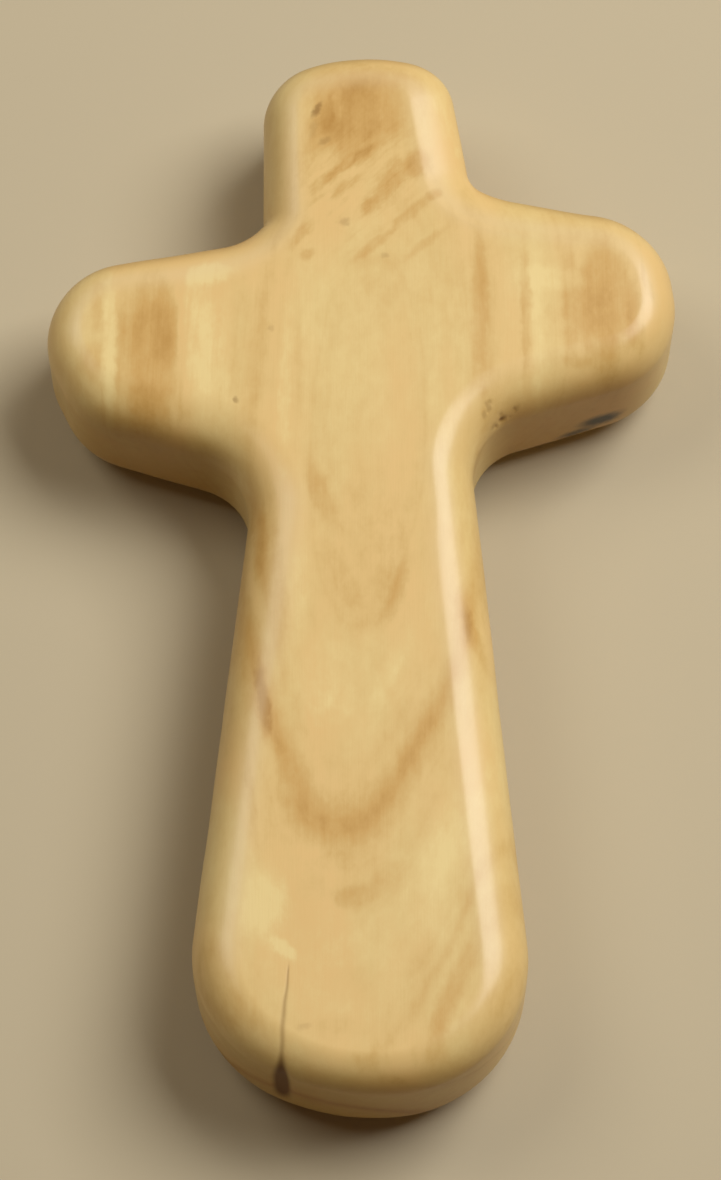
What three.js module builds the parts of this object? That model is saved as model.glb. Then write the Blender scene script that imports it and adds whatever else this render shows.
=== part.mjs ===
// A holding cross: a plain cross for the palm of the hand, carved in one piece from a board
// of pale hardwood. Sizes are millimetres. It lies on its flat back, with +X out along its
// right arm, +Y towards its head and +Z out of its front face. The origin is at the back
// face, in the middle of the length and the width.

import * as THREE from 'three';

// The board, and the rolled edge that runs round both of its faces.
const length = 112.5;
const thickness = 17.5;
const edgeRound = 5;

// The foot and the head each end in a flat arc, whose crown is a little off the centre line.
const footEnd = { across: 1.1, round: 24 };
const headEnd = { across: 0.4, round: 21.5 };

// The sides were shaped by eye, so they have the same corners at other sizes. What ends in
// Out is measured from the centre line of the stem.
const rightSide = {
  footOut: 16.4,        // half of the stem where it is widest, near the foot
  footRound: 14,
  waistOut: 11.4,       // half of the stem where it is narrowest, in the armpit
  armpitRound: 6.7,     // the hollow corner under the arm
  armpitDrop: 2.3,      // how far the armpit lies below the underside of the arm's end
  armReach: 32.3,       // out to the upper corner of the arm's end
  tipLean: -0.2,        // how far the lower corner falls short of the upper one
  armDrop: 28.1,        // from the top of the head down to the middle of the arm's end
  tipWidth: 20.5,
  tipRound: 9.6,
  neckOut: 10.9,        // half of the head where it meets the arms
  neckRound: 2.8,       // the tight hollow at the neck
  shoulderRun: 6.5,     // from the neck out to the lowest point of the shoulder
  shoulderRise: 0.9,    // how far the shoulder lies above the top of the arm's end
  shoulderRound: 10.5,  // the wide hollow that leads from the neck into the arm
  headOut: 9.7,         // half of the head where it is widest, near its top
  headRound: 6.3,
};

const leftSide = {
  footOut: 17.1,
  footRound: 13.8,
  waistOut: 11.9,
  armpitRound: 6.7,
  armpitDrop: 2.1,
  armReach: 32.9,
  tipLean: 0.9,
  armDrop: 33.2,
  tipWidth: 19.5,
  tipRound: 8.8,
  neckOut: 10.6,
  neckRound: 0.6,
  shoulderRun: 5.4,
  shoulderRise: 1.9,
  shoulderRound: 6.8,
  headOut: 10.7,
  headRound: 6.4,
};

// A rounding takes at most this share of the wood it has.
const roundingShare = 0.96;

// How finely the curves are cut into facets.
const cornerStep = THREE.MathUtils.degToRad(8);
const edgeFacets = 8;
const samePoint = 1e-3;

const oiledWood = new THREE.MeshStandardMaterial({
  name: 'oiled_wood',
  color: '#dec084',
  roughness: 0.45,
  metalness: 0,
});

function limitRound(round, room) {
  return Math.min(round, (roundingShare * room) / 2);
}

// The corner that leads from one side of a limb into the flat arc at its end. Its circle
// touches the side and lies against the arc from inside, so arc and corner blend. The height
// is counted from the end of the limb inwards.
function endCorner(out, round, end, endAcross) {
  const across = out - round;
  const gap = end.round - round;
  const height = end.round - Math.sqrt(Math.max(gap ** 2 - (across - endAcross) ** 2, 0));
  return { across, height, round };
}

// The seven round corners of one side, from the foot up to the head. A hollow corner, which
// bends into the wood, has a negative radius. turn is 1 on the right and -1 on the left.
function sideCorners(side, otherSide, turn) {
  const footWidth = side.footOut + otherSide.footOut;
  const headWidth = side.headOut + otherSide.headOut;
  const footRound = limitRound(side.footRound, footWidth);
  const headRound = limitRound(side.headRound, headWidth);
  const tipRound = limitRound(side.tipRound, side.tipWidth);

  const armMiddle = length - side.armDrop;
  const armUnderside = armMiddle - side.tipWidth / 2;
  const armTop = armMiddle + side.tipWidth / 2;
  const shoulderY = armTop + side.shoulderRise + side.shoulderRound;

  // The neck's circle lies against the shoulder's from inside, so the two hollows blend.
  const neckGap = side.shoulderRound - side.neckRound;
  const neckRun = side.shoulderRun - side.neckRound;
  const neckY = shoulderY - Math.sqrt(Math.max(neckGap ** 2 - neckRun ** 2, 0));

  const foot = endCorner(side.footOut, footRound, footEnd, turn * footEnd.across);
  const head = endCorner(side.headOut, headRound, headEnd, turn * headEnd.across);

  const corners = [
    { x: foot.across, y: foot.height, radius: footRound },
    {
      x: side.waistOut + side.armpitRound,
      y: armUnderside - side.armpitDrop - side.armpitRound,
      radius: -side.armpitRound,
    },
    { x: side.armReach - side.tipLean - tipRound, y: armUnderside + tipRound, radius: tipRound },
    { x: side.armReach - tipRound, y: armTop - tipRound, radius: tipRound },
    { x: side.neckOut + side.shoulderRun, y: shoulderY, radius: -side.shoulderRound },
    { x: side.neckOut + side.neckRound, y: neckY, radius: -side.neckRound },
    { x: head.across, y: length - head.height, radius: headRound },
  ];
  return corners.map(({ x, y, radius }) => ({ x: turn * x, y, radius }));
}

// All round corners in order, counterclockwise from the foot.
function allCorners() {
  return [
    { x: footEnd.across, y: footEnd.round, radius: footEnd.round },
    ...sideCorners(rightSide, leftSide, 1),
    { x: headEnd.across, y: length - headEnd.round, radius: headEnd.round },
    ...sideCorners(leftSide, rightSide, -1).reverse(),
  ];
}

// The direction, as an angle, that faces outwards from the straight side which touches two
// neighbouring corner circles.
function sideFacing(from, to) {
  const dx = to.x - from.x;
  const dy = to.y - from.y;
  const lean = (from.radius - to.radius) / Math.hypot(dx, dy);
  return Math.atan2(dy, dx) - Math.acos(THREE.MathUtils.clamp(lean, -1, 1));
}

function contourPoint({ x, y, radius, facing }, inset) {
  const reach = radius - inset;
  return new THREE.Vector2(x + reach * Math.cos(facing), y + reach * Math.sin(facing));
}

// The stations along the outline: each is a corner circle and a direction from its centre.
// Every contour of the body goes through the same stations, with its corner circles made
// smaller, or the hollow ones larger, by its inset. Two stations at one point become one.
function outlineStations() {
  const corners = allCorners();
  const stations = [];
  corners.forEach((corner, i) => {
    const before = corners.at(i - 1);
    const after = corners[(i + 1) % corners.length];
    const start = sideFacing(before, corner);
    const swing = sideFacing(corner, after) - start;
    const bend = THREE.MathUtils.euclideanModulo(swing + Math.PI, 2 * Math.PI) - Math.PI;
    const steps = Math.max(1, Math.ceil(Math.abs(bend) / cornerStep));
    for (let k = 0; k <= steps; k += 1) {
      stations.push({ ...corner, facing: start + (bend * k) / steps });
    }
  });
  return stations.filter((station, i) => {
    const here = contourPoint(station, 0);
    const previous = contourPoint(stations.at(i - 1), 0);
    return here.distanceTo(previous) > samePoint;
  });
}

// The section through the edge, from the back face to the front: a quarter round, the
// straight flank and a quarter round. It is a list of insets and heights.
function edgeSection(round) {
  const back = [];
  for (let k = 0; k <= edgeFacets; k += 1) {
    const angle = (Math.PI / 2) * (1 - k / edgeFacets);
    back.push({
      inset: round * (1 - Math.cos(angle)),
      height: round * (1 - Math.sin(angle)),
    });
  }
  const front = back.map(({ inset, height }) => ({ inset, height: thickness - height }));
  return [...back, ...front.reverse()];
}

// The carved body: one contour for each step of the edge's section, joined ring to ring, and
// closed by the flat back and the flat front.
function carvedBody() {
  const stations = outlineStations();
  const tightest = Math.min(...stations.map((s) => s.radius).filter((r) => r > 0));
  const round = limitRound(edgeRound, Math.min(thickness, 2 * tightest));
  const section = edgeSection(round);
  const around = stations.length;

  const positions = section.flatMap(({ inset, height }) => stations.flatMap((station) => {
    const point = contourPoint(station, inset);
    return [point.x, point.y, height];
  }));

  const triangles = [];
  for (let ring = 0; ring < section.length - 1; ring += 1) {
    for (let i = 0; i < around; i += 1) {
      const next = (i + 1) % around;
      const a = ring * around + i;
      const b = ring * around + next;
      const c = (ring + 1) * around + next;
      const d = (ring + 1) * around + i;
      triangles.push(a, b, c, a, c, d);
    }
  }

  const face = stations.map((station) => contourPoint(station, round));
  const frontRing = (section.length - 1) * around;
  THREE.ShapeUtils.triangulateShape(face, []).forEach(([a, b, c]) => {
    triangles.push(a, c, b);
    triangles.push(frontRing + a, frontRing + b, frontRing + c);
  });

  const geometry = new THREE.BufferGeometry();
  geometry.setAttribute('position', new THREE.Float32BufferAttribute(positions, 3));
  geometry.setIndex(triangles);
  geometry.computeVertexNormals();
  geometry.computeBoundingBox();
  return geometry;
}

const carvedCross = new THREE.Mesh(carvedBody(), oiledWood);
carvedCross.name = 'carved_cross';
const { min, max } = carvedCross.geometry.boundingBox;
carvedCross.position.set(-(min.x + max.x) / 2, -(min.y + max.y) / 2, 0);

const holdingCross = new THREE.Group();
holdingCross.add(carvedCross);

export default holdingCross;
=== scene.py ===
"""A hand-sanded holding cross of pale hardwood, dressed round its CAD body."""

import math

import bpy
import numpy as np
from mathutils import Color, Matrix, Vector
from mathutils.geometry import delaunay_2d_cdt


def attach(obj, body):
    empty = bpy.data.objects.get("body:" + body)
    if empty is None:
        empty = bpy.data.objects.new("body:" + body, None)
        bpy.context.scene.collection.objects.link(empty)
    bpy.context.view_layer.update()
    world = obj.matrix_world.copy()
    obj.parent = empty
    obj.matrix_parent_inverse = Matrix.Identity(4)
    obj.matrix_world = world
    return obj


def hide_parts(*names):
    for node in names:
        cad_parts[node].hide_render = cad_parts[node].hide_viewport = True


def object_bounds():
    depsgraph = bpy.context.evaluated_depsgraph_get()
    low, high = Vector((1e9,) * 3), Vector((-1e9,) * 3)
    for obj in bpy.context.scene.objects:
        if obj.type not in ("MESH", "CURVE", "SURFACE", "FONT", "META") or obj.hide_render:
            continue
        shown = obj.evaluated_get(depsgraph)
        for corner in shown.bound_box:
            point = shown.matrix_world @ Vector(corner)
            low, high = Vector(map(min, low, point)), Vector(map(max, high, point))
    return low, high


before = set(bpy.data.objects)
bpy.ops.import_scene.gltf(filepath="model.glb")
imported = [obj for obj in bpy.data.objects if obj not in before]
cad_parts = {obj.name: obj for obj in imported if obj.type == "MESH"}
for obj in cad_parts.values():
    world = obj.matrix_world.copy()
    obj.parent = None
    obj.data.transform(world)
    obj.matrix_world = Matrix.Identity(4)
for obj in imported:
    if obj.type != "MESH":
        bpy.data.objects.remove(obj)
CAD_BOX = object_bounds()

bl_info = {
    "name": "Holding Cross",
    "version": (1, 0, 0),
    "blender": (4, 5, 0),
    "location": "3D View > Sidebar > Holding Cross",
    "description": "Builds a carved wooden holding cross on its CAD body",
    "category": "Add Mesh",
}

CAD_NODE = "carved_cross"
BODY = "root"
PIECE = "sanded_cross"
MM = 0.001

# Width and height of the photograph's frame, in pixels.
PHOTO_SIZE = (721, 1180)


def millimetres(name, about, value, **limits):
    """A length property whose default is given in millimetres."""
    return bpy.props.FloatProperty(
        name=name, description=about, default=value * MM, subtype="DISTANCE", **limits
    )


def tint(name, about, red, green, blue):
    """A colour property, in the 0 to 255 values of a screen colour."""
    default = (red / 255, green / 255, blue / 255)
    return bpy.props.FloatVectorProperty(
        name=name, description=about, default=default, subtype="COLOR_GAMMA",
        size=3, min=0, max=1,
    )


class CarvingSettings(bpy.types.PropertyGroup):
    """How the edge is rolled over and how the hand-sanded surface wavers."""

    roll: millimetres("Roll", "How far the rolled edge reaches in from the outline", 5.1)
    softness: bpy.props.FloatProperty(
        name="Softness", description="Superellipse power of the roll; 2 is a plain quarter round",
        default=2.05, min=1.1, max=4,
    )
    skim: millimetres("Skim", "Wood sanded off all round, inside the CAD body", 0.04)
    facet: bpy.props.FloatProperty(
        name="Facet", description="Slope at which the roll was pared away from the face",
        default=0.18, min=0, max=1,
    )
    blunting: millimetres("Blunting", "How gradually that slope starts", 0.9)
    waver: millimetres("Waver", "Depth of the low swells that hand sanding leaves", 0.09)
    ripple: millimetres("Ripple", "Depth of the short ripples that hand sanding leaves", 0.05)
    spacing: millimetres("Spacing", "Distance between the points along the outline", 0.5)


class FlawSettings(bpy.types.PropertyGroup):
    """The drying check at the foot and the pits by the right arm."""

    check_depth: millimetres("Check depth", "Depth of the drying check where it is widest", 0.30)
    check_width: millimetres("Check width", "Width of the check over the end of the foot", 2.7)
    hair_width: millimetres("Hairline width", "Width of the check where it runs up the face", 1.10)
    pit_depth: millimetres("Pit depth", "Depth of the largest pit", 0.26)


class WoodSettings(bpy.types.PropertyGroup):
    """The colours of the oiled wood and the slope of its growth rings."""

    pale: tint("Pale", "The palest, yellow early wood", 233, 210, 146)
    honey: tint("Honey", "The common tone of the board", 222, 194, 129)
    peach: tint("Peach", "The warmer patches of the common tone", 226, 191, 126)
    tan: tint("Tan", "The tone of late wood", 206, 166, 96)
    brown: tint("Brown", "The darkest line of a ring", 176, 128, 50)
    # The check and the pits get this colour by their depth, as stain with painted shade in the
    # hollows; the flecks get it as stain.
    stain_and_shade: tint("Stain", "Inside the check, the pits and the flecks", 108, 68, 4)
    smudge: tint("Smudge", "The dark smudge under the right arm", 36, 25, 8)
    # Paler edges: rubbed wear together with a painted highlight along the lit front roll.
    rubbed_and_highlight: tint("Rubbed", "The edges, paler where hands rub them", 226, 206, 166)
    end_grain: tint("End Grain", "The filter over end grain, which takes the oil in", 214, 199, 160)
    grey_grain: tint("Grey End Grain", "The same, where it stays greyer", 210, 194, 174)
    ring_slope: bpy.props.FloatProperty(
        name="Ring slope", description="How fast the tree's heart rises towards the head",
        default=0.30,
    )
    roughness: bpy.props.FloatProperty(
        name="Roughness", description="Roughness of the oiled wood", default=0.5, min=0, max=1,
    )
    wax: bpy.props.FloatProperty(
        name="Wax", description="Strength of the thin wax coat", default=0.36, min=0, max=1,
    )


class StudioSettings(bpy.types.PropertyGroup):
    """The floor, the two soft lights and the camera."""

    floor_colour: tint("Floor", "The plain pale floor", 192, 180, 152)
    key_colour: tint("Key colour", "The main light from the upper right", 255, 253, 250)
    key_power: bpy.props.FloatProperty(
        name="Key power", description="Power of the main light", default=5.35, unit="POWER",
    )
    side_colour: tint("Side colour", "The weaker light from the upper left", 255, 250, 236)
    side_power: bpy.props.FloatProperty(
        name="Side power", description="Power of the weaker light", default=1.35, unit="POWER",
    )
    tilt: bpy.props.FloatProperty(
        name="Tilt", description="How far the camera leans from straight above, to the foot",
        default=math.radians(20), subtype="ANGLE",
    )
    distance: millimetres("Distance", "From the camera to the cross", 480)
    scale: bpy.props.FloatProperty(
        name="Scale", description="Photograph pixels per millimetre at the cross", default=9.72,
    )


def linear(colour):
    """A screen colour as the linear values that a shader works in, with full alpha."""
    return (*Color(colour).from_srgb_to_scene_linear(), 1.0)


def smoothstep(low, high, value):
    """0 below low, 1 above high, and 3 t squared minus 2 t cubed in between."""
    t = np.clip((value - low) / (high - low), 0, 1)
    return t * t * (3 - 2 * t)


def bell(middle, width, value):
    """1 at the middle and almost 0 further than twice the width from it."""
    return np.exp(-(((value - middle) / width) ** 2))


# The carved body

def cad_outline():
    """The CAD outline, counterclockwise, with its outward normals and its thickness.

    The CAD body is a stack of contours. The widest is the flank, and the lowest is the same
    outline moved inwards by the edge round, so a flank point minus the nearest low point
    points straight out.
    """
    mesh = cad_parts[CAD_NODE].data
    flat = np.empty(3 * len(mesh.vertices))
    mesh.vertices.foreach_get("co", flat)
    points = np.unique(np.round(flat.reshape(-1, 3), 7), axis=0)
    levels = np.unique(points[:, 2])
    flank = points[points[:, 2] == levels[len(levels) // 2 - 1]][:, :2]
    low = points[points[:, 2] == levels[0]][:, :2]

    widest = flank[[flank[:, 0].argmin(), flank[:, 0].argmax()]]
    crossing = np.array([0.0, widest[:, 1].mean()])
    spokes = flank - crossing
    flank = flank[np.argsort(np.arctan2(spokes[:, 1], spokes[:, 0]))]

    apart = np.linalg.norm(flank[:, None] - low[None], axis=2)
    normals = flank - low[apart.argmin(axis=1)]
    normals /= np.linalg.norm(normals, axis=1, keepdims=True)
    return flank, normals, levels[-1]


def fine_outline(points, normals, reach, spacing, close_up):
    """The outline again with a point every spacing, on its true arcs and straights.

    Between two neighbours whose normals differ lies an arc: its radius is the step between
    the points over the step between the normals, and the point moves by the radius times the
    change of the normal. Where the normals agree the outline is straight.
    """
    ahead = np.roll(points, -1, 0) - points
    turn = np.roll(normals, -1, 0) - normals
    turn_length = np.linalg.norm(turn, axis=1)
    straight = turn_length < 1e-3
    safe = np.where(straight, 1.0, turn_length)
    radius = np.where(straight, 0.0, (ahead * turn).sum(1) / safe**2)

    angle = np.arctan2(normals[:, 1], normals[:, 0])
    bend = (np.roll(angle, -1) - angle + np.pi) % (2 * np.pi) - np.pi
    inner = np.linalg.norm(ahead - reach * turn, axis=1)
    longest = np.maximum(np.linalg.norm(ahead, axis=1), inner)
    steps = np.ceil(longest / spacing * close_up(points + ahead / 2)).astype(int)
    steps = np.maximum(steps, 1)

    piece = np.repeat(np.arange(len(points)), steps)
    first = np.repeat(np.cumsum(steps) - steps, steps)
    part = (np.arange(steps.sum()) - first) / steps[piece]
    facing = angle[piece] + bend[piece] * part
    out = np.stack([np.cos(facing), np.sin(facing)], axis=1)
    along = (straight[piece] * part)[:, None] * ahead[piece]
    return points[piece] + radius[piece, None] * (out - normals[piece]) + along, out


def hand_waver(points, depth, shortest, longest, seed):
    """Swells of the sanded surface: the mean of six slanting sine waves, from 0 to depth."""
    source = np.random.default_rng(seed)
    waves = source.normal(size=(6, 3))
    lengths = source.uniform(shortest, longest, size=(6, 1)) * MM
    waves *= 2 * np.pi / (lengths * np.linalg.norm(waves, axis=1, keepdims=True))
    phases = source.uniform(0, 2 * np.pi, size=6)
    swell = np.sin(points @ waves.T + phases).mean(axis=1)
    return depth * np.clip(0.5 + 0.8 * swell, 0, 1)


# The two swells of the hand-sanded surface: the shortest and the longest wave, in
# millimetres, and the seed of its random draws.
WAVER_SWELL = (19, 44, 7)
RIPPLE_SWELL = (5, 11, 3)

# Where the drying check runs, in millimetres: up the face of the foot as a hairline, and
# over the rolled end as an open crack. Its run is counted from its tip.
CHECK_TIP = (-7.1, -43.1)
CHECK_EDGE = (-8.0, -53.8)
CHECK_RUN = 25.0

# The shares of that run over which the hairline widens from its tip, opens into the crack
# and closes again down the flank.
CHECK_STARTS = (0, 0.30)
CHECK_OPENS = (0.40, 0.64)
CHECK_CLOSES = (0.80, 1.0)

# How wide the tip, how deep the hairline and how dark the hairline is, as shares of the
# full width, depth and darkness. The darkness is stain with painted shade in the crack.
TIP_WIDTH = 0.35
HAIR_DEPTH = 0.06
HAIR_DARKNESS = 0.31

# The pits in the hollow under the right arm, and one by the left armpit: place and radius in
# millimetres, and depth as a share of the deepest.
PITS = np.array([
    [14.55, 14.80, 14.50, 0.42, 0.85],
    [14.20, 15.35, 15.00, 0.30, 0.75],
    [14.75, 14.30, 14.00, 0.36, 0.70],
    [13.90, 14.20, 14.10, 0.26, 0.40],
    [15.30, 15.00, 14.40, 0.26, 0.40],
    [13.25, 15.95, 16.55, 0.22, 0.35],
    [12.95, 15.10, 16.10, 0.16, 0.30],
    [15.75, 15.75, 15.10, 0.20, 0.35],
    [-12.86, 15.88, 17.50, 0.22, 0.30],
])


def check_across(points):
    """How far, sideways, each point lies from the check, and its share of the check's run."""
    x, y, z = (points / MM).T
    slant = (CHECK_EDGE[0] - CHECK_TIP[0]) / (CHECK_EDGE[1] - CHECK_TIP[1])
    wander = 0.05 * np.sin(0.8 * y) + 0.02 * np.sin(2.3 * y + 1)
    line = CHECK_TIP[0] + slant * (np.maximum(y, CHECK_EDGE[1]) - CHECK_TIP[1])
    top = CAD_BOX[1][2] / MM
    run = ((CHECK_TIP[1] - y) + (top - z)) / CHECK_RUN
    return (x - line - wander * smoothstep(0, 0.1, run)) * MM, run


def check_hollow(points, flaws):
    """0 outside the drying check and 1 at its bottom, and how far it has opened there.

    It is a hairline up the face, and opens over the rolled end of the foot.
    """
    across, run = check_across(points)
    opening = smoothstep(*CHECK_OPENS, run)
    half = 0.5 * (flaws.hair_width + (flaws.check_width - flaws.hair_width) * opening)
    half = half * (TIP_WIDTH + (1 - TIP_WIDTH) * smoothstep(*CHECK_STARTS, run))
    inside = (run > 0) & (run < 1) & (points[:, 1] < CHECK_TIP[1] * MM)
    hollow = np.clip(1 - np.abs(across) / np.maximum(half, 1e-9), 0, 1) * inside
    fade = smoothstep(0, 0.06, run) * (1 - smoothstep(*CHECK_CLOSES, run))
    return smoothstep(0, 1, hollow) * fade, opening


def pit_hollow(points):
    """How deep each point lies in a pit, from 0 to 1: the largest of the round bells."""
    places, radii, depths = PITS[:, :3] * MM, PITS[:, 3] * MM, PITS[:, 4]
    apart = np.linalg.norm(points[:, None] - places[None], axis=2)
    return (depths * np.exp(-((apart / radii) ** 2))).max(axis=1)


# Where the outline's points lie closer, at the check and at the pits: the place and how far
# round it, in millimetres, and how many more points there are for each usual one.
CLOSE_UPS = np.array([
    [CHECK_EDGE[0] - 0.4, CHECK_EDGE[1] - 1, 3.2, 5.5],
    [14.6, 15.2, 3.6, 3.5],
])


def near_flaws(middles):
    """How many times closer the outline's points lie where the check and the pits are."""
    places, reach, extra = CLOSE_UPS[:, :2] * MM, CLOSE_UPS[:, 2] * MM, CLOSE_UPS[:, 3]
    apart = np.linalg.norm(middles[:, None] - places[None], axis=2)
    return 1 + (apart < reach) @ extra


# Where the edge was worked differently from the common roll: the place on the outline and
# how far along it that reaches, how far the roll goes in and down, its superellipse power,
# and the facet pared off next to the face: its slope and how gradually it starts.
EDGE_WORK = np.array([
    [10.8, 46.5, 7.0, 4.9, 2.7, 1.90, 0.34, 0.25],
    [0.0, 56.2, 6.0, 4.3, 3.8, 1.90, 0.20, 0.50],
    [-9.8, 46.0, 7.0, 3.9, 5.4, 1.85, 0.34, 0.35],
    [13.0, -8.0, 6.0, 5.0, 4.6, 2.00, 0.20, 0.60],
    [14.0, -18.5, 6.0, 5.0, 4.8, 2.00, 0.29, 0.50],
    [15.0, -32.0, 13.0, 5.0, 4.8, 2.00, 0.28, 0.55],
    [-12.5, -5.0, 9.0, 5.6, 5.2, 2.00, 0.15, 1.10],
    [-14.0, -20.0, 8.0, 4.8, 5.2, 2.00, 0.18, 0.90],
    [-15.5, -32.0, 13.0, 4.8, 5.2, 2.00, 0.17, 1.10],
    [32.9, 25.5, 8.0, 3.7, 4.2, 1.90, 0.29, 0.40],
    [-32.3, 24.5, 8.0, 3.8, 4.3, 1.90, 0.28, 0.40],
    [12.4, 9.5, 4.5, 4.3, 4.8, 1.95, 0.27, 0.50],
    [16.2, 11.4, 3.6, 5.2, 4.4, 1.95, 0.12, 0.80],
    [22.0, 12.7, 7.0, 5.3, 4.4, 1.95, 0.03, 1.00],
    [29.8, 16.2, 4.5, 4.8, 4.3, 1.95, 0.04, 1.00],
    [-20.5, 11.0, 7.0, 5.9, 5.4, 2.20, 0.03, 1.00],
    [-29.0, 13.8, 4.5, 5.4, 5.2, 2.10, 0.05, 1.00],
    [-13.0, -52.3, 6.0, 4.2, 3.7, 1.80, 0.06, 1.00],
    [0.0, -56.2, 9.0, 3.5, 3.6, 1.80, 0.05, 1.00],
    [13.0, -52.3, 6.0, 4.2, 3.9, 1.90, 0.10, 1.00],
])


def edge_work(outline, carving):
    """How far in and down the roll reaches at each outline point, its power and its facet.

    Each row of EDGE_WORK counts by a bell round its place, the common roll by a fixed share.
    """
    places, reach = EDGE_WORK[:, :2] * MM, EDGE_WORK[:, 2] * MM
    shapes = EDGE_WORK[:, 3:] * np.array([MM, MM, 1, 1, MM])
    apart = np.linalg.norm(outline[:, None] - places[None], axis=2)
    weight = 4 * bell(0, reach, apart)
    common = 0.25
    usual = np.array([
        carving.roll, carving.roll, carving.softness, carving.facet, carving.blunting,
    ])
    blended = common * usual + weight @ shapes
    return (blended / (common + weight.sum(axis=1))[:, None]).T


# Rows of points on the face behind the roll: how far behind it each lies, in millimetres.
LEDGE = np.array([[0.12], [0.35], [0.70]])

# Where the front roll is painted palest, as rubbed wear and a painted highlight, and how far
# that spreads, as shares of its width counted from the face.
RUB_HIGHLIGHT_MIDDLE = 0.22
RUB_HIGHLIGHT_SPREAD = 0.26


def rolled_edge(outline, out, front, back, thickness, steps):
    """The edge as a grid of contours, from the back face to the front, with their normals.

    A quarter superellipse is carried along the outline: at the angle a it lies
    inwards (1 - cos a ^ (2/power)) inside the outline and down (1 - sin a ^ (2/power)) below
    the face. A facet next to the face, slope (root of (d squared + blunt squared) - blunt)
    deep at the distance d from the face, sinks it further: the two depths join as the fourth
    root of the sum of their fourth powers. Straight rows join the back and the front quarter,
    and three rows go on along the front face, which keeps the start of the facet clean. The
    third result says how pale each point is painted, for rubbed wear and a painted highlight:
    1 where the front starts to roll, and 0 on the flank, on the face and where the edge turns
    down towards the foot.
    """
    def quarter(inwards, down, power, facet, blunt, count):
        angle = np.linspace(0, np.pi / 2, count + 1)[:, None]
        sine, cosine = np.sin(angle), np.clip(np.cos(angle), 0, 1)
        inset = inwards * (1 - cosine ** (2 / power))
        sunk = down * (1 - sine ** (2 / power))
        pared = facet * (np.hypot(inwards - inset, blunt) - blunt)
        sunk = np.minimum((sunk**4 + pared**4) ** 0.25, down)
        lean = 2 * (power - 1) / power
        return inset, sunk, cosine**lean / inwards, sine**lean / down

    front_steps, back_steps, flank_steps = steps
    inset, sunk, side, face = quarter(*front, front_steps)
    back_inset, back_sunk, back_side, back_face = (
        rows[::-1] for rows in quarter(*back, back_steps)
    )
    share = np.linspace(0, 1, flank_steps + 1)[1:-1, None]
    flank_low, flank_high = back[1], thickness - front[1]
    flank_height = flank_low + share * (flank_high - flank_low)
    nothing = np.zeros_like(flank_height)
    ledge = front[0] + LEDGE * MM
    level = np.zeros_like(ledge)

    insets = np.concatenate([back_inset, nothing, inset, ledge])
    heights = np.concatenate([back_sunk, flank_height, thickness - sunk, thickness - level])
    sides = np.concatenate([back_side, nothing + 1, side, level])
    faces = np.concatenate([-back_face, nothing, face, level + 1])
    rubbed_and_highlight = bell(RUB_HIGHLIGHT_MIDDLE, RUB_HIGHLIGHT_SPREAD, 1 - insets / front[0])
    rubbed_and_highlight = rubbed_and_highlight * smoothstep(-0.5, 0.0, out[:, 1])
    rubbed_and_highlight[: len(back_inset) + len(nothing)] = 0

    flat = outline[None] - insets[..., None] * out[None]
    points = np.concatenate([flat, heights[..., None]], axis=2)
    normals = np.concatenate([sides[..., None] * out[None], faces[..., None]], axis=2)
    return points, normals / np.linalg.norm(normals, axis=2, keepdims=True), rubbed_and_highlight


def lattice(low, high, spacing):
    """A lattice of equilateral triangles with the given side, over a rectangle."""
    across = np.arange(low[0], high[0], spacing)
    up = np.arange(low[1], high[1], spacing * math.sqrt(3) / 2)
    x, y = np.meshgrid(across, up)
    x = x + (np.arange(len(up)) % 2)[:, None] * spacing / 2
    return np.stack([x.ravel(), y.ravel()], axis=1)


def inside_ring(ring, points, margin):
    """Which points lie inside a closed ring, and further than margin from its corners."""
    start, end = ring, np.roll(ring, -1, 0)
    above = (start[None, :, 1] > points[:, None, 1]) != (end[None, :, 1] > points[:, None, 1])
    rise = end[:, 1] - start[:, 1]
    slope = (end[:, 0] - start[:, 0]) / np.where(rise == 0, 1.0, rise)
    crossing = start[None, :, 0] + (points[:, None, 1] - start[None, :, 1]) * slope[None]
    inside = ((above & (points[:, None, 0] < crossing)).sum(axis=1) % 2) == 1
    apart = np.linalg.norm(points[:, None] - ring[None], axis=2).min(axis=1)
    return inside & (apart > margin)


# How far from the check the points beside it lie, in millimetres.
BESIDE_CHECK = np.array([0, 0.05, 0.10, 0.15, 0.21, 0.29, 0.40, 0.56, 0.80])


def check_strip(spacing):
    """Points in rows across the check, closest at its bottom, so that its lips stay clean."""
    sideways = np.concatenate([-BESIDE_CHECK[:0:-1], BESIDE_CHECK]) * MM
    y = np.arange(CHECK_EDGE[1] * MM, CHECK_TIP[1] * MM + 1.5 * spacing, spacing)
    top = np.column_stack([np.zeros_like(y), y, np.full_like(y, CAD_BOX[1][2])])
    middle = -check_across(top)[0]
    x = middle[:, None] + sideways
    return np.stack([x, np.broadcast_to(y[:, None], x.shape)], axis=2).reshape(-1, 2)


def face_fill(ring, layers):
    """Points and triangles that fill a face inside its ring.

    Each layer is a set of points with its spacing. A point of a later layer is left out
    where it comes closer than 0.6 spacings to the ring or to a point that is there already.
    The first points of the result are the ring's own.
    """
    points = ring
    for layer, spacing in layers:
        margin = 0.6 * spacing
        layer = layer[inside_ring(ring, layer, margin)]
        apart = np.linalg.norm(layer[:, None] - points[None], axis=2).min(axis=1)
        points = np.concatenate([points, layer[apart > margin]])

    count = len(ring)
    rim = [(i, (i + 1) % count) for i in range(count)]
    filled = delaunay_2d_cdt([Vector(p) for p in points], rim, [], 1, 1e-9)
    if len(filled[0]) != len(points):
        raise RuntimeError("the face's triangles merged or added points")
    return points, np.array(filled[2])


# How many rows of points the front roll, the back roll and the flank between them have.
EDGE_ROWS = (36, 16, 9)

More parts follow.
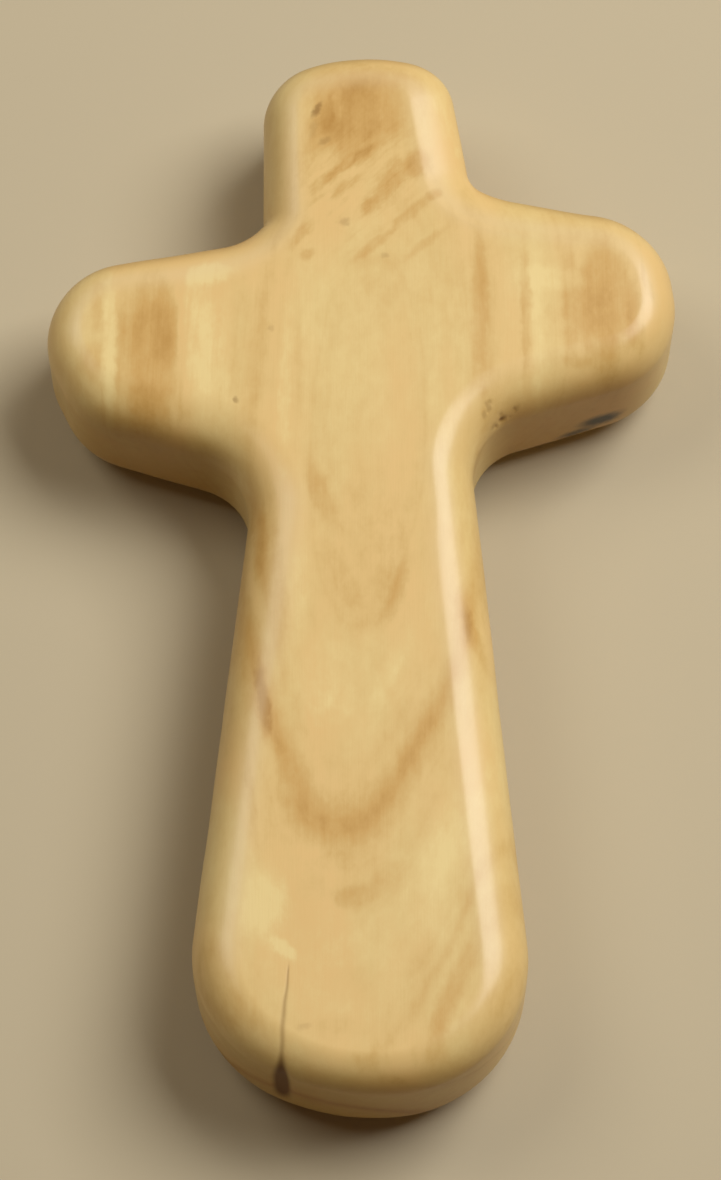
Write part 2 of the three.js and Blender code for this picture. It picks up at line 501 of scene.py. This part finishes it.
# How far apart the points of a face lie, in millimetres: all over it, and in the rows across
# the check, which may come this close to each other.
FACE_SPACING = 0.85
CHECK_ROWS = 0.16
CHECK_GAP = 0.05

# Where else they lie closer, round the check, the left pit and the right pits: the lowest and
# the highest corner of the place, and the spacing.
FINE_PLACES = (
    ((-9.6, -52), (-5.6, -41.5), 0.3),
    ((-13.5, 15.2), (-12.2, 16.5), 0.1),
    ((11.2, 15.2), (17.2, 21), 0.3),
)


def carved_surface(carving, flaws):
    """Points, faces and shades of the whole cross: two filled faces and a rolled edge.

    The shades are the check and the pits, which paint stain and shade into their hollows, the
    end grain, and the rubbed edge with its painted highlight. The board's fibres run along y,
    so the end grain shows where the surface faces up or down the stem.
    """
    outline, out, thickness = cad_outline()
    outline, out = fine_outline(outline, out, carving.roll, carving.spacing, near_flaws)
    outline = outline - carving.skim * out

    front = edge_work(outline, carving)
    back = np.array([carving.roll, carving.roll, 2.0, 0.0, 0.0])[:, None]
    back = back * np.ones(len(outline))
    points, normals, rubbed_and_highlight = rolled_edge(outline, out, front, back, thickness, EDGE_ROWS)

    rows, around = points.shape[:2]
    spacing = FACE_SPACING * MM
    wide = (lattice(outline.min(axis=0), outline.max(axis=0), spacing), spacing)
    fine = [
        (lattice(np.array(low) * MM, np.array(high) * MM, apart * MM), apart * MM)
        for low, high, apart in FINE_PLACES
    ]
    layers = [(check_strip(CHECK_ROWS * MM), CHECK_GAP * MM), *fine, wide]
    front_fill, front_triangles = face_fill(points[-1, :, :2], layers)
    back_fill, back_triangles = face_fill(points[0, :, :2], [wide])

    grid = points.reshape(-1, 3)
    front_extra = front_fill[around:]
    back_extra = back_fill[around:]
    front_extra = np.column_stack([front_extra, np.full(len(front_extra), thickness)])
    back_extra = np.column_stack([back_extra, np.zeros(len(back_extra))])
    everything = np.concatenate([grid, front_extra, back_extra])
    up = np.broadcast_to([0.0, 0.0, 1.0], front_extra.shape)
    down = np.broadcast_to([0.0, 0.0, -1.0], back_extra.shape)
    facing = np.concatenate([normals.reshape(-1, 3), up, down])

    end_grain = smoothstep(0.45, 1.0, np.abs(facing[:, 1]))
    rubbed_and_highlight = np.concatenate([rubbed_and_highlight.ravel(), np.zeros(len(front_extra) + len(back_extra))])
    check, opening = check_hollow(everything, flaws)
    pits = pit_hollow(everything)
    sunk = hand_waver(everything, carving.waver, *WAVER_SWELL)
    sunk = sunk + hand_waver(everything, carving.ripple, *RIPPLE_SWELL)
    sunk = sunk + flaws.check_depth * check * (HAIR_DEPTH + (1 - HAIR_DEPTH) * opening)
    sunk = sunk + flaws.pit_depth * pits
    everything = everything - sunk[:, None] * facing
    # The check and the pits darken the colour by their depth, as stain with painted shade; the
    # rubbed shade paints the front roll pale, as wear and a painted highlight.
    shades = {
        "check": check * (HAIR_DARKNESS + (1 - HAIR_DARKNESS) * opening),
        "pits": pits,
        "end_grain": end_grain,
        "rubbed_and_highlight": rubbed_and_highlight,
    }

    index = np.arange(rows * around).reshape(rows, around)
    right = np.roll(index, -1, axis=1)
    quads = np.stack([index[:-1], right[:-1], right[1:], index[1:]], axis=-1).reshape(-1, 4)
    front_start, back_start = len(grid), len(grid) + len(front_extra)
    front_map = np.concatenate([index[-1], front_start + np.arange(len(front_extra))])
    back_map = np.concatenate([index[0], back_start + np.arange(len(back_extra))])
    triangles = np.concatenate([front_map[front_triangles], back_map[back_triangles][:, ::-1]])
    return everything, quads, triangles, shades


def mesh_from(name, points, quads, triangles, layers):
    """A smooth-shaded mesh from arrays of points, quads and triangles, with named layers."""
    mesh = bpy.data.meshes.new(name)
    mesh.from_pydata(points.tolist(), [], quads.tolist() + triangles.tolist())
    for layer, values in layers.items():
        attribute = mesh.attributes.new(layer, "FLOAT", "POINT")
        attribute.data.foreach_set("value", values.astype(np.float32))
    mesh.polygons.foreach_set("use_smooth", np.ones(len(mesh.polygons), bool))
    mesh.update()
    if mesh.validate():
        raise RuntimeError(f"{name} has faces that share or lack points")
    return mesh


class HOLDING_CROSS_OT_carve(bpy.types.Operator):
    """Carve the cross: its rolled edges, sanded faces, drying check and pits"""

    bl_idname = "holding_cross.carve"
    bl_label = "Carve Cross"

    def execute(self, context):
        scene = context.scene
        points, quads, triangles, shades = carved_surface(scene.cross_carving, scene.cross_flaws)
        mesh = mesh_from(PIECE, points, quads, triangles, shades)
        mesh.materials.append(oiled_wood(scene.cross_wood))
        cross = bpy.data.objects.new(PIECE, mesh)
        scene.collection.objects.link(cross)
        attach(cross, BODY)
        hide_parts(CAD_NODE)
        return {"FINISHED"}


# The wood

class Recipe:
    """Shader nodes of one material, added step by step; each step gives its output socket."""

    def __init__(self, name):
        self.material = bpy.data.materials.new(name)
        self.material.use_nodes = True
        self.tree = self.material.node_tree
        self.tree.nodes.clear()

    def add(self, kind, inputs=None, **settings):
        """A node with its settings, its inputs set to values or linked to sockets."""
        node = self.tree.nodes.new(kind)
        for key, value in settings.items():
            setattr(node, key, value)
        for key, value in (inputs or {}).items():
            if isinstance(value, bpy.types.NodeSocket):
                self.tree.links.new(value, node.inputs[key])
            else:
                node.inputs[key].default_value = value
        return node

    def math(self, operation, first, second=0.0, third=0.0, clamp=False):
        """One arithmetic step."""
        inputs = {0: first, 1: second, 2: third}
        node = self.add("ShaderNodeMath", inputs, operation=operation, use_clamp=clamp)
        return node.outputs[0]

    def step(self, value, low, high):
        """0 at low, 1 at high and smooth in between."""
        inputs = {"Value": value, "From Min": low, "From Max": high}
        node = self.add("ShaderNodeMapRange", inputs, interpolation_type="SMOOTHSTEP")
        return node.outputs[0]

    def shade(self, name):
        """A named shade that the mesh carries, from 0 to 1."""
        return self.add("ShaderNodeAttribute", attribute_name=name).outputs["Fac"]

    def stretch(self, vector, scale, shift=(0, 0, 0)):
        """The coordinates, multiplied and shifted."""
        inputs = {"Vector": vector, "Scale": scale, "Location": shift}
        return self.add("ShaderNodeMapping", inputs).outputs[0]

    def noise(self, vector, scale, detail=2.0, roughness=0.5, distortion=0.0):
        """Soft noise, about 0.5 on average."""
        inputs = {
            "Vector": vector, "Scale": scale, "Detail": detail,
            "Roughness": roughness, "Distortion": distortion,
        }
        return self.add("ShaderNodeTexNoise", inputs).outputs[0]

    def noise_along(self, value, scale, detail=2.0):
        """Noise of one value, such as a radius."""
        inputs = {"W": value, "Scale": scale, "Detail": detail}
        return self.add("ShaderNodeTexNoise", inputs, noise_dimensions="1D").outputs[0]

    def ramp(self, value, stops):
        """A colour for each value, from stops of place and colour."""
        node = self.add("ShaderNodeValToRGB", {"Fac": value})
        ramp = node.color_ramp
        ramp.elements[0].position, ramp.elements[0].color = stops[0]
        ramp.elements[1].position, ramp.elements[1].color = stops[-1]
        for position, colour in stops[1:-1]:
            ramp.elements.new(position).color = colour
        return node.outputs[0]

    def mix(self, factor, first, second, blend="MIX"):
        """Two colours mixed."""
        inputs = {0: factor, 6: first, 7: second}
        node = self.add("ShaderNodeMix", inputs, data_type="RGBA", blend_type=blend)
        return node.outputs[2]


# The growth rings: a radius in millimetres from the tree's heart line, and how dark the wood
# is there. It darkens slowly up to a late-wood line and drops back quickly behind it.
RING_TONES = (
    (0.0, 0.26), (4.0, 0.28), (6.0, 0.44), (6.7, 0.26), (9.0, 0.24), (10.6, 0.34),
    (11.8, 0.50), (12.3, 0.70), (12.7, 0.68), (13.2, 0.46), (13.8, 0.32), (15.0, 0.30),
    (16.2, 0.20), (17.9, 0.18), (19.2, 0.26), (20.0, 0.44), (20.6, 0.28), (21.8, 0.40),
    (22.4, 0.30), (24.6, 0.44), (25.4, 0.26), (27.8, 0.40), (28.6, 0.26), (34.0, 0.30),
)
RING_SPAN = 34.0

# The tree's heart line, in millimetres: how far to the right it lies at which place along
# the stem, how much further for each millimetre towards the head, and the place along the
# stem where it comes out of the front face.
HEART = (-1.5, -26.0, 0.06)
HEART_LEVEL = 12.2

# How dark the common tone of the board is, on the scale of the ring tones.
COMMON_TONE = 0.28

# Noise laid over the rings, as long fibres, clouds and a mottle: how fast it changes along
# each axis, its detail and roughness, and its strength.
GRAIN = (
    ((1.8, 0.05, 1.8), 4.0, 0.60, 0.13),
    ((0.16, 0.07, 0.16), 3.0, 0.55, 0.30),
    ((0.70, 0.42, 0.70), 4.0, 0.65, 0.40),
)

# Broad soft patches of the board, in millimetres: centre, half length and half width, turn
# in degrees, and how much darker (or, below zero, paler) the wood is there. Two rows are
# painted light and shade, as marked.
PATCHES = (
    (-0.3, 49.2, 6.4, 6.4, 90, 0.38),
    (-4.2, 46.4, 3.6, 2.2, 60, 0.04),
    # Painted highlight: the head's right facet painted paler where the light catches it.
    (8.8, 46.0, 7.5, 2.6, 98, -0.16),
    (25.6, 26.4, 8.5, 3.1, 90, 0.40),
    (-16.5, 22.8, 8.5, 2.6, 90, -0.26),
    (-21.9, 21.8, 9.5, 3.6, 90, 0.30),
    # Painted shade: darker along the lower roll of the left arm.
    (-20.5, 15.6, 3.2, 5.0, 90, 0.12),
    (1.0, 0.5, 10.0, 4.6, 94, 0.12),
    (-3.5, -15.0, 5.0, 2.6, 90, -0.12),
    (-9.6, -37.5, 4.4, 2.9, 84, -0.23),
    (8.0, -32.0, 5.0, 2.4, 72, -0.18),
    (-3.0, 24.0, 9.0, 5.0, 95, -0.10),
    (0.5, 42.0, 7.5, 6.0, 0, 0.04),
)

# How deep into the wood, in millimetres, the patches and the streaks below reach.
PATCH_DEPTH = 14
STREAK_DEPTH = 8

# Narrower streaks and spots, in rows like those of the patches. Three rows are painted light
# and shade, as marked.
STREAKS = (
    (6.1, 42.5, 2.3, 1.6, 60, 0.28),
    (3.8, 41.6, 3.6, 1.6, 48, 0.16),
    (2.2, 39.4, 3.4, 1.3, 48, 0.20),
    (0.9, 37.6, 1.6, 0.9, 44, 0.20),
    (7.6, 39.0, 1.0, 0.8, 40, 0.24),
    (5.3, 37.1, 3.6, 0.7, 42, 0.20),
    (1.2, 33.3, 3.4, 0.6, 40, 0.22),
    (6.6, 33.5, 3.2, 0.6, 40, 0.16),
    (0.2, 43.6, 2.6, 0.7, 42, 0.18),
    (-2.0, 42.2, 2.8, 0.6, 43, 0.16),
    (-1.6, 40.0, 2.8, 0.6, 43, 0.14),
    (-4.2, 40.4, 2.4, 0.7, 44, 0.12),
    (-6.2, 34.6, 2.6, 0.8, 50, 0.20),
    (-5.6, 32.3, 1.1, 0.7, 35, 0.22),
    (-2.5, 49.0, 2.6, 0.6, 92, -0.14),
    (-7.9, 17.0, 11.0, 0.8, 89, -0.16),
    (-6.4, 20.0, 7.0, 0.5, 91, 0.12),
    (-14.0, 22.0, 8.5, 0.7, 90, -0.14),
    # Painted highlight: a pale streak along the top roll of the left arm.
    (-15.8, 30.2, 3.6, 1.5, 8, -0.26),
    (-20.4, 24.4, 5.6, 1.5, 91, 0.13),
    (-22.9, 25.4, 4.0, 1.0, 89, 0.04),
    (-24.9, 22.0, 7.5, 0.7, 90, 0.08),
    (-25.9, 22.0, 9.0, 0.8, 90, -0.32),
    (-27.3, 26.3, 3.4, 0.6, 88, 0.16),
    (-27.6, 20.5, 2.2, 1.5, 90, 0.18),
    (-29.8, 18.0, 2.6, 1.0, 70, 0.12),
    (12.2, 26.0, 10.0, 1.0, 90, 0.24),
    (16.9, 25.0, 9.0, 0.7, 90, 0.26),
    (18.2, 25.0, 9.5, 1.0, 90, -0.15),
    (28.4, 24.6, 5.0, 1.0, 92, 0.16),
    (21.5, 27.0, 7.5, 1.0, 90, 0.24),
    (23.2, 27.0, 7.0, 1.0, 90, 0.14),
    (29.6, 29.0, 3.0, 0.7, 106, 0.20),
    (22.3, 20.2, 2.2, 1.0, 170, 0.16),
    (-4.0, 5.5, 5.0, 1.3, 110, 0.24),
    (-2.2, -3.0, 5.0, 1.5, 110, 0.12),
    (3.6, -5.0, 4.5, 1.0, 72, 0.12),
    (2.4, -14.5, 4.0, 1.2, 66, -0.16),
    (-6.3, -4.0, 5.0, 1.6, 92, -0.12),
    # Painted shade: two darker streaks along the left roll of the stem, by the left armpit.
    (-10.4, 1.0, 7.0, 0.9, 93, 0.30),
    (-8.8, -2.0, 10.0, 1.4, 94, 0.24),
    (10.2, -7.5, 4.0, 1.3, 92, 0.20),
    (19.2, 29.6, 4.0, 1.6, 172, -0.20),
    (-9.9, -16.5, 4.6, 0.8, 96, 0.32),
    (-11.0, -27.0, 7.0, 0.6, 97, 0.18),
    (-8.0, -24.0, 4.5, 1.5, 118, -0.16),
    (11.3, -9.5, 4.0, 0.9, 112, 0.20),
    (-2.0, -33.2, 1.1, 4.0, 90, 0.10),
    (2.6, -35.0, 2.6, 1.8, 30, 0.10),
    (-0.8, -37.0, 2.4, 1.6, 10, 0.22),
    (-5.0, -36.0, 2.6, 1.5, 90, 0.10),
    (5.8, -43.0, 2.2, 1.3, 60, 0.12),
    (-1.0, -45.5, 3.4, 1.8, 20, 0.12),
    (-2.6, -50.0, 2.4, 1.3, 10, 0.16),
    (-7.6, -42.3, 2.0, 0.8, 140, -0.20),
    (9.1, -46.0, 5.6, 1.2, 69, 0.15),
    (7.2, -51.0, 4.0, 1.0, 75, 0.12),
)

# The slanting strokes across the neck: how long and how wide they are, their turn in degrees,
# and the centre, size and turn of the place that they cover.
STROKE_SCALE = (2.6, 0.75, 2.6)
STROKE_TURN = 44
NECK = ((0.0, 40.0, CAD_BOX[1][2] / MM), (10, 7.5, 3), 40)

# The place under the right arm where end grain stays greyer: centre, sizes and turn.
GREY_PLACE = ((24, 15, 6), (15, 8, 16), 15)

# Small dark flecks: centre, half length, half width, turn in degrees, and strength.
FLECKS = (
    (-4.7, 48.8, 17.5, 1.10, 0.42, 62, 0.52),
    (-5.0, 46.6, 17.5, 1.30, 0.50, 80, 0.14),
    (-3.9, 45.2, 17.5, 0.75, 0.42, 35, 0.26),
    (-1.8, 35.9, 17.5, 0.75, 0.55, 10, 0.26),
    (2.4, 32.1, 17.5, 0.50, 0.40, 0, 0.18),
    (-12.9, 15.9, 17.5, 0.42, 0.36, 90, 0.42),
    (-9.3, 23.9, 17.5, 0.50, 0.40, 90, 0.16),
    (-5.6, -50.1, 17.4, 0.80, 0.40, 20, 0.14),
    (15.2, 14.2, 13.4, 0.70, 0.40, 20, 0.24),
    (13.7, 14.2, 14.4, 0.60, 0.40, 70, 0.22),
    (13.1, 15.7, 16.4, 0.80, 0.45, 120, 0.30),
    (12.6, 14.9, 16.0, 0.60, 0.40, 100, 0.24),
    (15.8, 15.7, 15.1, 0.80, 0.45, 60, 0.26),
)

# The dark smudge low on the right arm's underside, in rows like those of the flecks.
SMUDGES = (
    (25.2, 17.9, 6.4, 2.8, 1.60, 15, 1.00),
    (22.9, 17.2, 4.6, 2.6, 1.10, 10, 0.85),
)


def ring_tone(recipe, radius, tones):
    """How dark the wood is at a radius, read from a row of ring tones."""
    stops = [(place / RING_SPAN, (tone, tone, tone, 1.0)) for place, tone in tones]
    return recipe.ramp(recipe.math("DIVIDE", radius, RING_SPAN), stops)


def soft_spot(recipe, place, centre, sizes, turn):
    """1 within 0.35 of a turned ellipsoid's sizes, 0 beyond 1.25 of them, soft in between."""
    mapping = recipe.add("ShaderNodeMapping", {
        "Vector": place, "Location": centre, "Rotation": (0, 0, math.radians(turn)),
        "Scale": [1.25 * size for size in sizes],
    }, vector_type="TEXTURE")
    inputs = {"Vector": mapping.outputs[0]}
    ball = recipe.add("ShaderNodeTexGradient", inputs, gradient_type="SPHERICAL")
    return recipe.step(ball.outputs["Fac"], 0.0, 0.72)


def frayed(recipe, place, noise_place, amount):
    """The place, moved about by noise, so that what is laid there gets ragged edges."""
    noise = recipe.add("ShaderNodeTexNoise", {"Vector": noise_place, "Scale": 1.0})
    shift = recipe.add("ShaderNodeVectorMath", {
        0: noise.outputs["Color"], 1: (2 * amount,) * 3, 2: (-amount,) * 3,
    }, operation="MULTIPLY_ADD")
    moved = recipe.add("ShaderNodeVectorMath", {0: place, 1: shift.outputs[0]}, operation="ADD")
    return moved.outputs[0]


def shaded(recipe, tone, place, spots, depth):
    """The tone with each of the soft spots added; they reach this deep into the wood."""
    top = CAD_BOX[1][2] / MM
    for x, y, length, width, turn, darker in spots:
        spot = soft_spot(recipe, place, (x, y, top), (length, width, depth), turn)
        tone = recipe.math("MULTIPLY_ADD", spot, darker, tone)
    return tone


def jitter(recipe, noise, reach):
    """Noise turned into a distance, from minus to plus the reach."""
    return recipe.math("MULTIPLY_ADD", noise, 2 * reach, -reach)


def ring_radius(recipe, place, wood):
    """How far the place is from the tree's heart line, and where it lies along the stem.

    The heart line leans through the board. Noise bends it slowly, ripples the rings sideways
    and makes them ragged.
    """
    parts = recipe.add("ShaderNodeSeparateXYZ", {0: place}).outputs
    x, y, z = parts[0], parts[1], parts[2]
    heart_x, heart_y, drift = HEART
    bend_x = jitter(recipe, recipe.noise(place, 0.04, 1.0), 1.2)
    bend_z = jitter(recipe, recipe.noise(place, 0.06, 1.0), 0.9)
    ripple_place = recipe.stretch(place, (0.35, 0.07, 0.35))
    ripple = jitter(recipe, recipe.noise(ripple_place, 1.0, 2.0), 0.6)
    ragged_place = recipe.stretch(place, (1.3, 0.07, 1.3))
    ragged = jitter(recipe, recipe.noise(ragged_place, 1.0, 3.0), 0.3)

    middle = recipe.math("MULTIPLY_ADD", y, drift, heart_x - drift * heart_y)
    side = recipe.math("ADD", recipe.math("SUBTRACT", x, middle), bend_x)
    side = recipe.math("ADD", side, ripple)
    rise = recipe.math("MULTIPLY", recipe.math("SUBTRACT", y, HEART_LEVEL), wood.ring_slope)
    depth = recipe.math("SUBTRACT", z, CAD_BOX[1][2] / MM)
    deep = recipe.math("ADD", recipe.math("SUBTRACT", depth, rise), bend_z)
    squares = recipe.math("MULTIPLY_ADD", side, side, recipe.math("MULTIPLY", deep, deep))
    return recipe.math("ADD", recipe.math("SQRT", squares), ragged), y


def board_tone(recipe, place, wood):
    """How dark the bare wood is, from 0 to 1.

    The ring tone at the radius stands out most towards the foot. Fine rings and the grain,
    each about zero on average, are added to it, then the patches and streaks with ragged
    edges, a few of which are painted highlights and painted shade, and the slanting strokes
    across the neck.
    """
    radius, y = ring_radius(recipe, place, wood)
    rings = ring_tone(recipe, radius, RING_TONES)
    footward = recipe.step(y, 8.0, -26.0)
    contrast = recipe.math("MULTIPLY_ADD", footward, 0.70, 0.38)
    over = recipe.math("SUBTRACT", rings, COMMON_TONE)
    tone = recipe.math("MULTIPLY_ADD", over, contrast, COMMON_TONE)

    fine = recipe.math("SUBTRACT", recipe.noise_along(radius, 1.3, 3.0), 0.5)
    tone = recipe.math("MULTIPLY_ADD", fine, 0.14, tone)
    for scale, detail, roughness, strength in GRAIN:
        noise = recipe.noise(recipe.stretch(place, scale), 1.0, detail, roughness)
        tone = recipe.math("MULTIPLY_ADD", recipe.math("SUBTRACT", noise, 0.5), strength, tone)

    bent = frayed(recipe, place, recipe.stretch(place, (0.40, 0.10, 0.40)), 1.0)
    uneven = frayed(recipe, place, recipe.stretch(place, (1.1, 0.8, 1.1)), 0.45)
    tone = shaded(recipe, tone, bent, PATCHES, PATCH_DEPTH)
    tone = shaded(recipe, tone, uneven, STREAKS, STREAK_DEPTH)

    stroke_place = recipe.add("ShaderNodeMapping", {
        "Vector": place, "Rotation": (0, 0, math.radians(STROKE_TURN)), "Scale": STROKE_SCALE,
    }, vector_type="TEXTURE").outputs[0]
    stroke = recipe.step(recipe.noise(stroke_place, 1.0, 2.0, 0.6, 0.3), 0.36, 0.68)
    neck = soft_spot(recipe, bent, *NECK)
    return recipe.math("MULTIPLY_ADD", recipe.math("MULTIPLY", stroke, neck), 0.13, tone)


def board_colour(recipe, place, wood):
    """The colour of the bare wood: its tone, warmer in places, rubbed edges with a painted
    highlight, and end grain.
    """
    tone = board_tone(recipe, place, wood)
    colour = recipe.ramp(recipe.math("ADD", tone, 0.0, clamp=True), (
        (0.0, linear(wood.pale)),
        (COMMON_TONE, linear(wood.honey)),
        (0.66, linear(wood.tan)),
        (1.0, linear(wood.brown)),
    ))
    warm_place = recipe.stretch(place, (0.13, 0.05, 0.13), (9, 4, 2))
    warm = recipe.step(recipe.noise(warm_place, 1.0, 3.0), 0.36, 0.68)
    not_dark = recipe.step(tone, 0.55, 0.25)
    not_pale = recipe.step(tone, -0.1, COMMON_TONE)
    light = recipe.math("MULTIPLY", not_dark, not_pale)
    colour = recipe.mix(recipe.math("MULTIPLY", warm, light), colour, linear(wood.peach))

    # The front roll painted paler, as rubbed wear and a painted highlight, on the edges that face
    # the lights.
    rubbed_and_highlight = recipe.math("MULTIPLY", recipe.shade("rubbed_and_highlight"), 0.30)
    colour = recipe.mix(rubbed_and_highlight, colour, linear(wood.rubbed_and_highlight))
    greyer = soft_spot(recipe, place, *GREY_PLACE)
    filtering = recipe.mix(greyer, linear(wood.end_grain), linear(wood.grey_grain))
    return recipe.mix(recipe.shade("end_grain"), colour, filtering, "MULTIPLY")


def stained_and_shaded(recipe, place, colour, wood):
    """The colour with the check, pits, flecks and smudge, and how much of each flaw it has. The
    check and the pits are darker the deeper they are: stain with painted shade.
    """
    # Stain with painted shade, darker where the check and the pits are deeper.
    check = recipe.step(recipe.shade("check"), 0.0, 0.7)
    pits = recipe.step(recipe.shade("pits"), 0.05, 1.1)
    flaw = recipe.math("MAXIMUM", check, pits)
    crumbled = frayed(recipe, place, recipe.stretch(place, (1.6, 1.6, 1.6)), 0.3)
    for *centre, length, width, turn, strength in FLECKS:
        spot = soft_spot(recipe, crumbled, centre, (length, width, max(0.5, width)), turn)
        flaw = recipe.math("MAXIMUM", flaw, recipe.math("MULTIPLY", spot, strength))
    colour = recipe.mix(flaw, colour, linear(wood.stain_and_shade))
    for *centre, length, width, turn, strength in SMUDGES:
        spot = soft_spot(recipe, crumbled, centre, (length, width, width), turn)
        dark = recipe.math("MULTIPLY", spot, strength)
        colour = recipe.mix(dark, colour, linear(wood.smudge))
    return colour, flaw


def oiled_wood(wood):
    """The oiled hardwood as a solid pattern: rings round a slanting heart line, and grain."""
    recipe = Recipe("oiled_wood")
    object_place = recipe.add("ShaderNodeTexCoord").outputs["Object"]
    place = recipe.stretch(object_place, (1 / MM,) * 3)
    colour = board_colour(recipe, place, wood)
    colour, flaw = stained_and_shaded(recipe, place, colour, wood)

    grain = recipe.noise(recipe.stretch(place, (6.0, 0.25, 6.0)), 1.0, 3.0, 0.6)
    bump = recipe.add("ShaderNodeBump", {"Strength": 0.25, "Distance": 0.00004, "Height": grain})
    shader = recipe.add("ShaderNodeBsdfPrincipled", {
        "Base Color": colour,
        "Roughness": recipe.math("MULTIPLY_ADD", flaw, 0.3, wood.roughness),
        "Specular IOR Level": 0.3,
        "Coat Weight": wood.wax,
        "Coat Roughness": 0.24,
        "Normal": bump.outputs[0],
    })
    recipe.add("ShaderNodeOutputMaterial", {"Surface": shader.outputs[0]})
    return recipe.material


# The studio

# The directions in which the two lights stand, how far off in metres, and their widths.
KEY_DIRECTION = (0.497, 0.287, 0.819)
SIDE_DIRECTION = (-0.497, 0.287, 0.819)
LIGHT_DISTANCE = 0.75
KEY_WIDTH = 0.44
SIDE_WIDTH = 0.36

# The faint warm light from all round.
AIR_COLOUR = (1.0, 0.62, 0.38, 1.0)
AIR_STRENGTH = 0.08


def soft_light(name, direction, target, width, power, colour):
    """A square area light that stands in a direction from the target and faces it."""
    place = target + LIGHT_DISTANCE * Vector(direction)
    lamp = bpy.data.lights.new(name, "AREA")
    lamp.size = width
    lamp.energy = power
    lamp.color = linear(colour)[:3]
    light = bpy.data.objects.new(name, lamp)
    light.location = place
    light.rotation_mode = "QUATERNION"
    light.rotation_quaternion = (target - place).to_track_quat("-Z", "Y")
    bpy.context.scene.collection.objects.link(light)


# The camera looks at this point, in millimetres: where the photograph's middle pixel meets
# the cross, halfway through its thickness.
CAMERA_TARGET = (-0.12, -1.64, 8.75)

# The width of the camera's sensor in millimetres, and half the floor's width in metres.
SENSOR = 36.0
FLOOR_HALF = 2.0


class HOLDING_CROSS_OT_stage(bpy.types.Operator):
    """Set the studio: a pale floor, two soft lights and the camera"""

    bl_idname = "holding_cross.stage"
    bl_label = "Set Studio"

    def execute(self, context):
        scene = context.scene
        studio = scene.cross_studio
        target = Vector(CAMERA_TARGET) * MM

        corners = np.array([[-1, -1, 0], [1, -1, 0], [1, 1, 0], [-1, 1, 0]]) * FLOOR_HALF
        mesh = mesh_from("floor", corners, np.array([[0, 1, 2, 3]]), np.empty((0, 3), int), {})
        recipe = Recipe("pale_floor")
        shader = recipe.add("ShaderNodeBsdfPrincipled", {
            "Base Color": linear(studio.floor_colour),
            "Roughness": 0.85,
        })
        recipe.add("ShaderNodeOutputMaterial", {"Surface": shader.outputs[0]})
        mesh.materials.append(recipe.material)
        floor = bpy.data.objects.new("floor", mesh)
        scene.collection.objects.link(floor)

        key = (studio.key_power, studio.key_colour)
        side = (studio.side_power, studio.side_colour)
        soft_light("key_light", KEY_DIRECTION, target, KEY_WIDTH, *key)
        soft_light("side_light", SIDE_DIRECTION, target, SIDE_WIDTH, *side)

        world = bpy.data.worlds.new("studio_air")
        world.use_nodes = True
        background = world.node_tree.nodes["Background"]
        background.inputs["Color"].default_value = AIR_COLOUR
        background.inputs["Strength"].default_value = AIR_STRENGTH
        scene.world = world

        lens = bpy.data.cameras.new("camera")
        lens.sensor_width = SENSOR
        focal_pixels = studio.scale * studio.distance / MM
        lens.lens = focal_pixels / max(PHOTO_SIZE) * SENSOR
        camera = bpy.data.objects.new("camera", lens)
        back = Vector((0, -math.sin(studio.tilt), math.cos(studio.tilt)))
        camera.location = target + studio.distance * back
        camera.rotation_mode = "QUATERNION"
        camera.rotation_quaternion = (-back).to_track_quat("-Z", "Y")
        scene.collection.objects.link(camera)
        scene.camera = camera
        scene.view_settings.view_transform = "Standard"
        return {"FINISHED"}


class HOLDING_CROSS_PT_panel(bpy.types.Panel):
    """The cross and its studio in the sidebar"""

    bl_idname = "HOLDING_CROSS_PT_panel"
    bl_label = "Holding Cross"
    bl_space_type = "VIEW_3D"
    bl_region_type = "UI"
    bl_category = "Holding Cross"

    def draw(self, context):
        scene = context.scene
        groups = (scene.cross_carving, scene.cross_flaws, scene.cross_wood, scene.cross_studio)
        for operator in (HOLDING_CROSS_OT_carve, HOLDING_CROSS_OT_stage):
            self.layout.operator(operator.bl_idname)
        for group in groups:
            box = self.layout.box()
            for name in group.__annotations__:
                box.prop(group, name)


CLASSES = (
    CarvingSettings,
    FlawSettings,
    WoodSettings,
    StudioSettings,
    HOLDING_CROSS_OT_carve,
    HOLDING_CROSS_OT_stage,
    HOLDING_CROSS_PT_panel,
)

GROUPS = {
    "cross_carving": CarvingSettings,
    "cross_flaws": FlawSettings,
    "cross_wood": WoodSettings,
    "cross_studio": StudioSettings,
}


def register():
    """Make the classes known and give each scene its settings."""
    for cls in CLASSES:
        bpy.utils.register_class(cls)
    for name, group in GROUPS.items():
        setattr(bpy.types.Scene, name, bpy.props.PointerProperty(type=group))


def unregister():
    """Undo what register does, in reverse."""
    for name in GROUPS:
        delattr(bpy.types.Scene, name)
    for cls in reversed(CLASSES):
        bpy.utils.unregister_class(cls)


def main():
    """Build the cross and its studio."""
    register()
    bpy.ops.holding_cross.carve()
    bpy.ops.holding_cross.stage()


if __name__ == "__main__":
    main()
